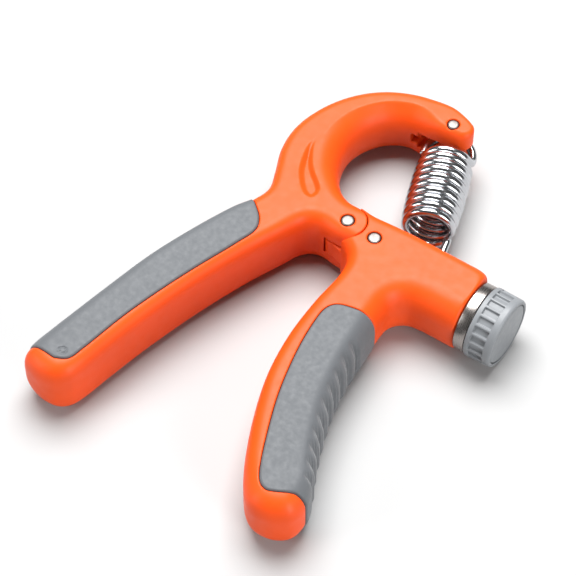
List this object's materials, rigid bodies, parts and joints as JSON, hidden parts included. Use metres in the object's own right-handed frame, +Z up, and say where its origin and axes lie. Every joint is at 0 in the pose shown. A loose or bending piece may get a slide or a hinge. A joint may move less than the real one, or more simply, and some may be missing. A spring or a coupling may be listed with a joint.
{
  "type": "hand grip strengthener",
  "caption": "Two hinged grip handles held apart by an extension spring, with a screw knob that slides the spring's lower end to change the resistance.",
  "frame": {"origin": "centre of the footprint of the grip lying on its side, on the surface it lies on", "axes": "+X out along the adjuster screw towards the knob, +Y up towards the spring hook, +Z up through the thickness"},
  "size_m": [0.1252, 0.1702, 0.025],
  "materials": {
    "orange_plastic": "satin injection-moulded polypropylene, bright orange",
    "grey_rubber": "soft matte overmoulded thermoplastic rubber, light grey",
    "grey_plastic": "satin moulded plastic, mid grey",
    "pin_steel": "polished steel dowel",
    "screw_steel": "zinc-plated steel",
    "brushed_collar": "circumferentially brushed stainless steel",
    "spring_chrome": "chrome-plated spring wire",
    "brass": "machined brass",
    "nylon": "natural white nylon"
  },
  "bodies": {
    "palm_handle": {"palm_handle_frame": "orange_plastic", "palm_grip_pad": "grey_rubber", "pivot_pin": "pin_steel"},
    "finger_handle": {"finger_handle_frame": "orange_plastic", "finger_grip_pad": "grey_rubber", "screw_anchor_pin": "pin_steel", "screw_end_bearing": "brass", "adjuster_collar": "brushed_collar"},
    "knob": {"adjuster_knob": "grey_plastic", "knob_end_cap": "grey_plastic", "adjuster_screw": "screw_steel", "knob_retaining_screw": "screw_steel", "thrust_washer": "nylon"},
    "carriage": {"spring_carriage": "brass", "carriage_pin": "pin_steel"},
    "spring_upper": {"spring_top_pin": "pin_steel", "spring_upper_loop": "spring_chrome"},
    "spring_middle": {"spring_coil": "spring_chrome"},
    "spring_lower": {"spring_lower_loop": "spring_chrome"}
  },
  "joints": [
    {"name": "handle_pivot", "type": "hinge", "parent": "palm_handle", "child": "finger_handle", "pos_m": [-0.0025, 0.0225, 0.0125], "axis": [0, 0, -1], "range_deg": [0, 30], "stiffness_Nm_per_rad": 8, "springref_deg": -14.32},
    {"name": "knob_spin", "type": "hinge", "parent": "finger_handle", "child": "knob", "pos_m": [0.0575, 0.0197, 0.0125], "axis": [-1, 0, 0], "range_deg": [-481, 1921]},
    {"name": "carriage_slide", "type": "slide", "parent": "finger_handle", "child": "carriage", "axis": [1, 0, 0], "range_m": [-0.002, 0.008]},
    {"name": "spring_swing", "type": "hinge", "parent": "palm_handle", "child": "spring_upper", "pos_m": [0.0056, 0.0771, 0.0125], "axis": [0, 0, 1], "range_deg": [-1.6, 6.35]},
    {"name": "spring_stretch", "type": "slide", "parent": "spring_upper", "child": "spring_middle", "axis": [-0.0551, -0.9985, 0], "range_m": [0, 0.01425], "deforming": ["spring_coil", "spring_upper_loop"]},
    {"name": "spring_take_up", "type": "slide", "parent": "spring_middle", "child": "spring_lower", "axis": [0.3174, -0.9483, 0], "range_m": [-0.00115, 0.00445], "deforming": ["spring_lower_loop"]}
  ],
  "couplings": [
    {"joint": "knob_spin", "follows": "carriage_slide", "rad_per_m": 4188.8},
    {"joint": "spring_swing", "follows": "carriage_slide", "rad_per_m": 13.75},
    {"joint": "spring_take_up", "follows": "carriage_slide", "ratio": 0.554},
    {"joint": "spring_stretch", "follows": "handle_pivot", "m_per_rad": 0.02713}
  ]
}
